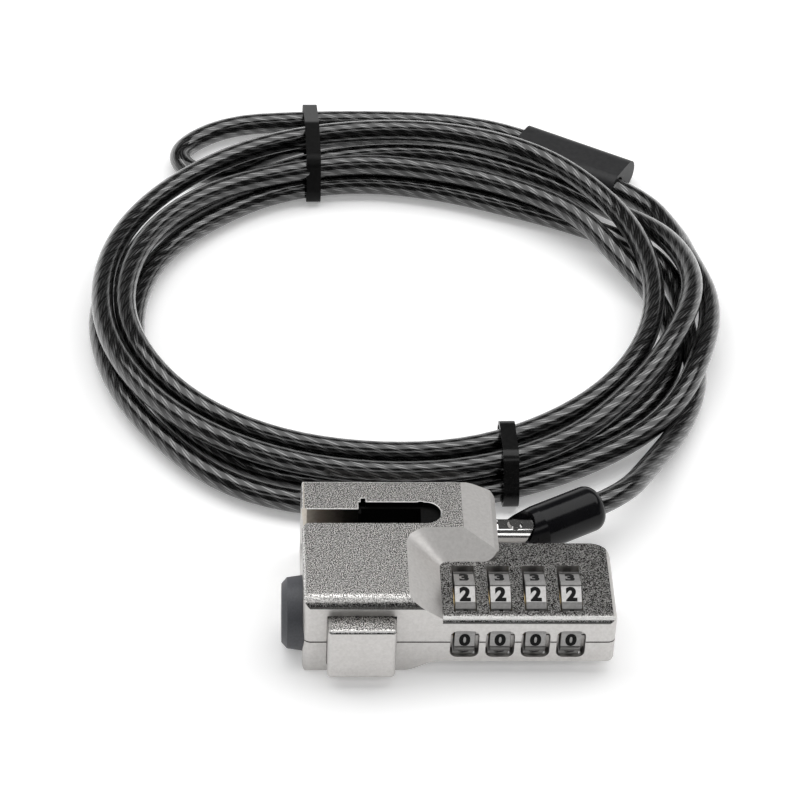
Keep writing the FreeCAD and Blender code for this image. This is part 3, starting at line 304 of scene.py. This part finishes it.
# Materials.
class Graph:
    """Short names for the nodes of one material."""

    def __init__(self, name):
        self.made = bpy.data.materials.new(name)
        self.made.use_nodes = True
        self.nodes = self.made.node_tree.nodes
        self.links = self.made.node_tree.links
        self.shader = self.nodes["Principled BSDF"]

    def link(self, source, target):
        if hasattr(source, "is_output"):
            self.links.new(source, target)
        else:
            target.default_value = source

    def split(self, vector):
        node = self.nodes.new("ShaderNodeSeparateXYZ")
        self.link(vector, node.inputs[0])
        return node.outputs

    def math(self, kind, a, b=0.0, c=0.0, clamp=False):
        node = self.nodes.new("ShaderNodeMath")
        node.operation = kind
        node.use_clamp = clamp
        for k, value in enumerate((a, b, c)):
            self.link(value, node.inputs[k])
        return node.outputs[0]

    def noise(self, vector, scale, detail=2.0, rough=0.5):
        node = self.nodes.new("ShaderNodeTexNoise")
        self.link(vector, node.inputs["Vector"])
        node.inputs["Scale"].default_value = scale
        node.inputs["Detail"].default_value = detail
        node.inputs["Roughness"].default_value = rough
        return node.outputs[0]

    def ramp(self, value, stops):
        node = self.nodes.new("ShaderNodeValToRGB")
        self.link(value, node.inputs[0])
        ramp = node.color_ramp
        while len(ramp.elements) < len(stops):
            ramp.elements.new(0.5)
        for element, (place, colour) in zip(ramp.elements, stops):
            element.position = place
            level = colour if isinstance(colour, tuple) else (colour, colour, colour)
            element.color = (*level, 1)
        return node.outputs[0]

    def mix(self, share, a, b):
        node = self.nodes.new("ShaderNodeMix")
        node.data_type = "RGBA"
        self.link(share, node.inputs[0])
        self.link((*a, 1) if isinstance(a, tuple) else a, node.inputs[6])
        self.link((*b, 1) if isinstance(b, tuple) else b, node.inputs[7])
        return node.outputs[2]

    def tint(self, a, b):
        """Colour a darkened by colour b."""
        node = self.nodes.new("ShaderNodeMix")
        node.data_type = "RGBA"
        node.blend_type = "MULTIPLY"
        node.inputs[0].default_value = 1.0
        self.link(a, node.inputs[6])
        self.link(b, node.inputs[7])
        return node.outputs[2]

    def bump(self, height, strength, distance, normal=None):
        node = self.nodes.new("ShaderNodeBump")
        node.inputs["Strength"].default_value = strength
        node.inputs["Distance"].default_value = distance
        self.link(height, node.inputs["Height"])
        if normal is not None:
            self.link(normal, node.inputs["Normal"])
        return node.outputs[0]

    def place(self):
        return self.nodes.new("ShaderNodeTexCoord").outputs["Object"]

    def set(self, **values):
        for key, value in values.items():
            socket = self.shader.inputs[key.replace("_", " ")]
            self.link((*value, 1) if isinstance(value, tuple) else value, socket)


def blasted_nickel(name, deck_shade_level):
    """Nickel plate over a finely blasted casting, with painted shade below the block's top whose
    tone the second argument sets.
    """
    g = Graph(name)
    place = g.place()
    grain = g.noise(place, 4600, 1.0, 0.5)
    height = g.math("MULTIPLY", g.split(place)[2], 1 / (20 * MM))
    facing = g.split(g.nodes.new("ShaderNodeTexCoord").outputs["Normal"])[2]
    top = g.ramp(grain, [(0.39, (0.012, 0.011, 0.010)), (0.50, (0.26, 0.253, 0.245)),
                         (0.61, (0.80, 0.785, 0.76))])
    # Painted shade: below the block's top the tone is darkened to the second argument's level.
    level = g.ramp(height, [(0.76, deck_shade_level), (0.90, 1.0)])
    # Bevel faces that lean forward take a brighter tone than the level top, a painted highlight.
    bevel = g.ramp(grain, [(0.38, (0.34, 0.33, 0.32)), (0.62, (0.98, 0.965, 0.94))])
    # Painted highlight: bevels below the block's top are lifted towards near white.
    low_bevel_highlight = g.ramp(height, [(0.74, 0.8), (0.90, 0.0)])
    bevel = g.mix(low_bevel_highlight, bevel, (0.98, 0.97, 0.95))
    # Painted shade: bevel faces that turn further from up are darkened to 0.12 of their tone.
    broken = g.math("MULTIPLY_ADD", g.math("SUBTRACT", grain, 0.5), 0.7, facing)
    edge = g.ramp(broken, [(0.25, 0.12), (0.48, 0.12), (0.58, 1.0), (0.88, 1.0)])
    flat = g.ramp(facing, [(0.86, 0.0), (0.97, 1.0)])
    g.set(Base_Color=g.mix(flat, g.tint(bevel, edge), g.tint(top, level)))
    g.set(Metallic=1.0, Roughness=0.30)
    g.set(Normal=g.bump(grain, 0.5, 0.00010))
    return g.made


def satin_nickel():
    """Smoother nickel plate with a faint grain."""
    g = Graph("nickel_satin")
    fine = g.noise(g.place(), 1500, 3, 0.6)
    tone = g.ramp(fine, [(0.3, (0.56, 0.545, 0.53)), (0.7, (0.64, 0.625, 0.61))])
    g.set(Base_Color=tone, Metallic=1.0, Roughness=0.44)
    g.set(Normal=g.bump(fine, 0.10, 0.00005))
    return g.made


def plain_metal(name, low, high, roughness, scale):
    """Bare or plated metal, mottled between two tones."""
    g = Graph(name)
    fine = g.noise(g.place(), scale, 3, 0.6)
    g.set(Base_Color=g.ramp(fine, [(0.3, low), (0.7, high)]), Metallic=1.0, Roughness=roughness)
    return g.made


def plastic(name, low, high, roughness, grain_scale, grain_height, shine=0.5):
    """Moulded plastic, mottled between two tones, with a slight grain."""
    g = Graph(name)
    grain = g.noise(g.place(), grain_scale, 3, 0.6)
    g.set(Base_Color=g.ramp(grain, [(0.35, low), (0.65, high)]), Roughness=roughness)
    g.shader.inputs["Specular IOR Level"].default_value = shine
    g.set(Normal=g.bump(grain, 0.4, grain_height))
    return g.made


def shaded_wall():
    """Bare casting inside the slot: brownish at the mouth, with painted shade that makes it nearly
    black further in.
    """
    g = Graph("slot_wall_shaded")
    place = g.place()
    # Painted shade: the tone falls with depth into the slot.
    depth = g.math("MULTIPLY_ADD", g.split(place)[0], 60.0, 1.8)
    fine = g.noise(place, 1500, 2, 0.6)
    mottled = g.math("MULTIPLY_ADD", fine, 0.12, g.math("SUBTRACT", depth, 0.06))
    g.set(Base_Color=g.ramp(mottled, [(0.03, (0.62, 0.57, 0.50)), (0.22, (0.30, 0.26, 0.22)),
                                      (0.55, (0.04, 0.035, 0.03)), (0.75, (0.010, 0.010, 0.010))]))
    g.set(Metallic=0.7, Roughness=0.45)
    return g.made


def cable_skin():
    """Clear smoky sheath over six right-handed strands of fine wires."""
    g = Graph("cable_sheath")
    u, v = g.split(g.nodes.new("ShaderNodeUVMap").outputs[0])[:2]

    def round_off(value):
        """1 on top of each strand or wire, 0 between two."""
        across = g.math("ABSOLUTE", g.math("MULTIPLY_ADD", g.math("FRACT", value), 2.0, -1.0))
        return g.math("SQRT", g.math("SUBTRACT", 1.0, g.math("MULTIPLY", across, across),
                                     clamp=True))

    turns = g.math("MULTIPLY_ADD", v, -1 / LAY, u)
    strand = round_off(g.math("MULTIPLY", turns, STRANDS))
    wire = round_off(g.math("MULTIPLY", g.math("MULTIPLY_ADD", v, -1 / WIRE_LAY, u), WIRES))
    patch = g.noise(g.place(), 420, 2, 0.6)
    # Painted glints on the crowns of strands and wires and painted shade in the grooves between
    # them, with a patchy tone over both.
    crown_glints_and_groove_shade = g.math("MULTIPLY", g.ramp(strand, [(0.72, 0.0), (0.98, 1.0)]),
                   g.ramp(wire, [(0.70, 0.10), (0.97, 1.0)]))
    tone = g.ramp(g.math("MULTIPLY", crown_glints_and_groove_shade, g.math("MULTIPLY_ADD", patch, 1.2, 0.4)),
                  [(0.05, 0.005), (0.45, 0.034), (1.0, 0.135)])
    g.set(Base_Color=tone, Metallic=1.0, Roughness=0.30)
    g.set(Normal=g.bump(g.math("MULTIPLY_ADD", wire, 0.25, strand), 0.5, 0.0003))
    g.shader.inputs["Coat Weight"].default_value = 1.0
    g.shader.inputs["Coat Roughness"].default_value = 0.10
    g.shader.inputs["Coat IOR"].default_value = 1.58
    return g.made


# The case's deck below the block's top gets painted shade at 0.40; the button gets none.
blasted = blasted_nickel("nickel_blasted", 0.40)
blasted_button = blasted_nickel("button_blasted", 1.0)
satin = satin_nickel()
slot_wall_shaded = shaded_wall()
bright = plain_metal("chrome", (0.80, 0.79, 0.78), (0.88, 0.87, 0.86), 0.10, 600)
dial_silver = plain_metal("dial_silver", (0.27, 0.265, 0.26), (0.35, 0.345, 0.34), 0.36, 1500)
# Brighter nickel for the bead on the slot's rim, a painted highlight.
rim_highlight_nickel = plain_metal("rim_highlight_nickel", (0.80, 0.79, 0.77), (0.90, 0.89, 0.87), 0.30, 1500)
inner_steel = plain_metal("machined_steel", 0.45, 0.58, 0.3, 900)
turned_brass = plain_metal("brass", (0.62, 0.45, 0.20), (0.75, 0.57, 0.28), 0.3, 900)
liner_black = plastic("liner_black", 0.002, 0.005, 0.6, 2500, 0.00003, shine=0.08)
button_grey = plastic("button_grey", (0.060, 0.062, 0.070), (0.074, 0.077, 0.088),
                      0.5, 2500, 0.00002)
boot_black = plastic("boot_black", (0.004, 0.004, 0.005), (0.007, 0.007, 0.008),
                     0.16, 120, 0.00005, shine=0.20)
sleeve_black = plastic("sleeve_black", (0.016, 0.016, 0.017), (0.024, 0.024, 0.025),
                       0.45, 900, 0.00002, shine=0.3)
tie_dull = plastic("tie_dull", 0.003, 0.006, 0.40, 900, 0.00004, shine=0.10)
tie_black = plastic("tie_black", 0.004, 0.008, 0.22, 900, 0.00004, shine=0.25)
seam_dark = plastic("seam_dark", (0.035, 0.032, 0.030), (0.055, 0.050, 0.047),
                    0.6, 3000, 0.00001, shine=0.1)
ink_black = plastic("ink_black", 0.002, 0.005, 0.5, 3000, 0.00001, shine=0.1)

cable.data.materials.append(cable_skin())

NODE_FINISH = {
    "upper_case": blasted, "lower_case": satin, "slot_liner": liner_black,
    "release_button": button_grey, "plunger": satin, "swivel_barrel": bright,
    "pivot_pin": bright, "cable_boot": boot_black, "crimp_sleeve": sleeve_black,
    "tie_front": tie_black, "tie_back": tie_dull,
}
for name, thing in nodes.items():
    finish = NODE_FINISH.get(name, inner_steel)
    if name.startswith("dial_hub"):
        finish = turned_brass
    elif name.startswith("dial_ring"):
        finish = dial_silver
    thing.data.materials.clear()
    thing.data.materials.append(finish)


# Where the flanks begin, counted from the front, and the corners of the room inside the slot.
FLANK_FRONT = at(0, 16, 0).y
SLOT_LOW = at(0.4, 27.5, 9)
SLOT_HIGH = at(30, 35.5, 19.7)
# A face's normal counts as level above the first share, and as leaning beyond the second.
LEVEL = 0.965
LEANING = 0.12


def dress_upper_case():
    """Blasted top and its front edge; smooth flanks, sides and front; walls in the slot with painted
    shade.
    """
    mesh = nodes["upper_case"].data
    mesh.materials.append(satin)
    mesh.materials.append(slot_wall_shaded)
    for face in mesh.polygons:
        n = face.normal
        c = face.center
        flank = n.z < LEVEL and (n.x > LEANING or (c.y > FLANK_FRONT and n.y < -LEANING))
        face.material_index = 0 if n.z > LEANING and not flank else 1
        if all(SLOT_LOW[k] < c[k] < SLOT_HIGH[k] for k in range(3)):
            face.material_index = 2


def dress_plunger():
    """Blasted top of the silver push button, smooth front and sides."""
    mesh = nodes["plunger"].data
    mesh.materials.append(blasted_button)
    for face in mesh.polygons:
        face.material_index = 1 if face.normal.z > 0.3 else 0


dress_upper_case()
dress_plunger()


# Dark line where the two halves of the case meet, and a thin round bead along the slot's rim in a
# nickel brighter than the case's, a painted highlight.
SEAM_Z = 8.5 * MM
SEAM_HALF = 0.15 * MM
SEAM_OUT = 0.02 * MM
BLOCK_TOP = 19.8 * MM
RIM = 0.13 * MM
RIM_SIDES = 8
RIM_LOW = at(-0.5, 26.0, 0)
RIM_HIGH = at(29.6, 36.5, 0)
UPRIGHT = 0.2
SAME_PLACE = 0.01 * MM


def wall_edges(mesh, z):
    """Edges at height z that belong to an upright face, with that face's normal."""
    found = {}
    for face in mesh.polygons:
        if abs(face.normal.z) < UPRIGHT:
            for key in face.edge_keys:
                a, b = (mesh.vertices[i].co for i in key)
                if max(abs(a.z - z), abs(b.z - z)) < SAME_PLACE and (a - b).length > SAME_PLACE / 10:
                    found[key] = (a.copy(), b.copy(), face.normal.copy())
    return found.values()


def seam_line():
    """Narrow band just outside the walls, half on each shell."""
    form = bmesh.new()
    rise = Vector((0, 0, SEAM_HALF))
    for a, b, n in wall_edges(nodes["lower_case"].data, SEAM_Z):
        out = n * SEAM_OUT
        form.faces.new([form.verts.new(p) for p in
                        (a + out - rise, b + out - rise, b + out + rise, a + out + rise)])
    piece = new_piece("case_seam", form, seam_dark)
    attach(piece, "case")


def slot_rim():
    """Thin round bead along the slot's upper edge."""
    form = bmesh.new()
    up = Vector((0, 0, 1))
    turns = [2 * math.pi * k / RIM_SIDES for k in range(RIM_SIDES)]
    for a, b, n in wall_edges(nodes["upper_case"].data, BLOCK_TOP):
        middle = (a + b) / 2
        if not (RIM_LOW.x < middle.x < RIM_HIGH.x and RIM_LOW.y < middle.y < RIM_HIGH.y):
            continue
        ends = [[form.verts.new(p + (n * math.cos(t) + up * math.sin(t)) * RIM) for t in turns]
                for p in (a, b)]
        for k in range(RIM_SIDES):
            form.faces.new((ends[0][k], ends[0][k - 1], ends[1][k - 1], ends[1][k])).smooth = True
    # The bead's nickel is brighter than the case's: a painted highlight along the slot's rim.
    piece = new_piece("slot_rim", form, rim_highlight_nickel)
    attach(piece, "case")


seam_line()
slot_rim()


# Digits on the ten faces of each dial.
DIAL_X = 33.0
DIAL_PITCH = 7.25
DIAL_AXIS = (8.5, 8.65)
DIAL_FLAT = 8.0
DIGIT_HEIGHT = 3.4
DIGIT_FATTER = 0.055
DIGIT_DEPTH = 0.02
DEPTH_SCALE = 0.0012


def digit_mesh(text):
    """One digit, centred, facing +Z."""
    data = bpy.data.curves.new("digit", "FONT")
    data.body = text
    data.size = 1.0
    data.offset = DIGIT_FATTER
    data.extrude = DIGIT_DEPTH
    data.align_x = "CENTER"
    mesh = mesh_of(data)
    xs = [v.co.x for v in mesh.vertices]
    ys = [v.co.y for v in mesh.vertices]
    scale = DIGIT_HEIGHT * MM / (max(ys) - min(ys))
    mesh.transform(Matrix.Diagonal((scale, scale, DEPTH_SCALE, 1))
                   @ Matrix.Translation((-(max(xs) + min(xs)) / 2, -(max(ys) + min(ys)) / 2, 0)))
    return mesh


def dial_digits(number):
    """All ten digits of one dial as one piece."""
    form = bmesh.new()
    for digit in range(10):
        tilt = math.radians(36 * digit)
        normal = Vector((0, -math.cos(tilt), math.sin(tilt)))
        up = Vector((0, math.sin(tilt), math.cos(tilt)))
        glyph = digit_mesh(str(digit))
        centre = at(DIAL_X + DIAL_PITCH * (number - 1), *DIAL_AXIS) + normal * DIAL_FLAT * MM
        turn = Matrix((Vector((1, 0, 0)), up, normal)).transposed().to_4x4()
        glyph.transform(Matrix.Translation(centre) @ turn)
        form.from_mesh(glyph)
        bpy.data.meshes.remove(glyph)
    piece = new_piece("dial_digits_%d" % number, form, ink_black)
    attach(piece, "dial_%d" % number)


for number in range(1, 5):
    dial_digits(number)

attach(cable, "cable_end")
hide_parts("cable_lead", "cable_coil", "anchor_loop")


# Floor, light and world.
FLOOR_REACH = 3.0
FLOOR_GLOW = 0.26
LAMP_HEIGHT = 1.0


def floor_white():
    """White paper that glows a little for the camera and in reflections."""
    g = Graph("floor_white")
    soft = g.noise(g.place(), 3, 2, 0.5)
    g.set(Base_Color=g.ramp(soft, [(0.3, 0.92), (0.7, 0.94)]), Roughness=0.9)
    path = g.nodes.new("ShaderNodeLightPath")
    seen = g.math("MAXIMUM", path.outputs["Is Camera Ray"], path.outputs["Is Glossy Ray"])
    g.set(Emission_Color=(1.0, 1.0, 1.0))
    g.set(Emission_Strength=g.math("MULTIPLY", seen, FLOOR_GLOW))
    return g.made


def floor():
    form = bmesh.new()
    form.faces.new([form.verts.new((x * FLOOR_REACH, y * FLOOR_REACH, 0))
                    for x, y in ((-1, -1), (1, -1), (1, 1), (-1, 1))])
    piece = new_piece("floor", form, floor_white())


def soft_box(name, y, width, depth, level):
    """Even panel facing straight down; level is how bright the panel itself looks."""
    data = bpy.data.lights.new(name, "AREA")
    data.shape = "RECTANGLE"
    data.size = width
    data.size_y = depth
    data.energy = level * math.pi * width * depth
    lamp = bpy.data.objects.new(name, data)
    bpy.context.scene.collection.objects.link(lamp)
    lamp.location = (0, y, LAMP_HEIGHT)


def world_light():
    """White walls low down behind and at the sides, dark room elsewhere."""
    world = bpy.data.worlds.new("world")
    bpy.context.scene.world = world
    world.use_nodes = True
    tree = world.node_tree
    way = tree.nodes.new("ShaderNodeTexCoord").outputs["Generated"]
    split = tree.nodes.new("ShaderNodeSeparateXYZ")
    tree.links.new(way, split.inputs[0])

    def ramp(source, stops):
        node = tree.nodes.new("ShaderNodeValToRGB")
        tree.links.new(source, node.inputs[0])
        for element, (place, level) in zip(node.color_ramp.elements, stops):
            element.position = place
            element.color = (level, level, level, 1)
        return node.outputs[0]

    def combine(kind, a, b, c):
        node = tree.nodes.new("ShaderNodeMath")
        node.operation = kind
        for socket, value in zip(node.inputs, (a, b, c)):
            if hasattr(value, "is_output"):
                tree.links.new(value, socket)
            else:
                socket.default_value = value
        return node.outputs[0]

    low_down = ramp(split.outputs[2], [(0.22, 1.0), (0.42, 0.0)])
    behind = ramp(combine("MULTIPLY_ADD", split.outputs[1], 0.5, 0.5), [(0.25, 0.0), (0.45, 1.0)])
    back = tree.nodes["Background"]
    tree.links.new(combine("MULTIPLY_ADD", low_down, behind, 0.06), back.inputs[0])
    back.inputs[1].default_value = 1.0


floor()
soft_box("top_box", 0.39, 2.4, 0.94, 2.3)
soft_box("front_box", -0.72, 2.0, 0.36, 1.5)
world_light()

bpy.context.scene.view_settings.view_transform = "Standard"
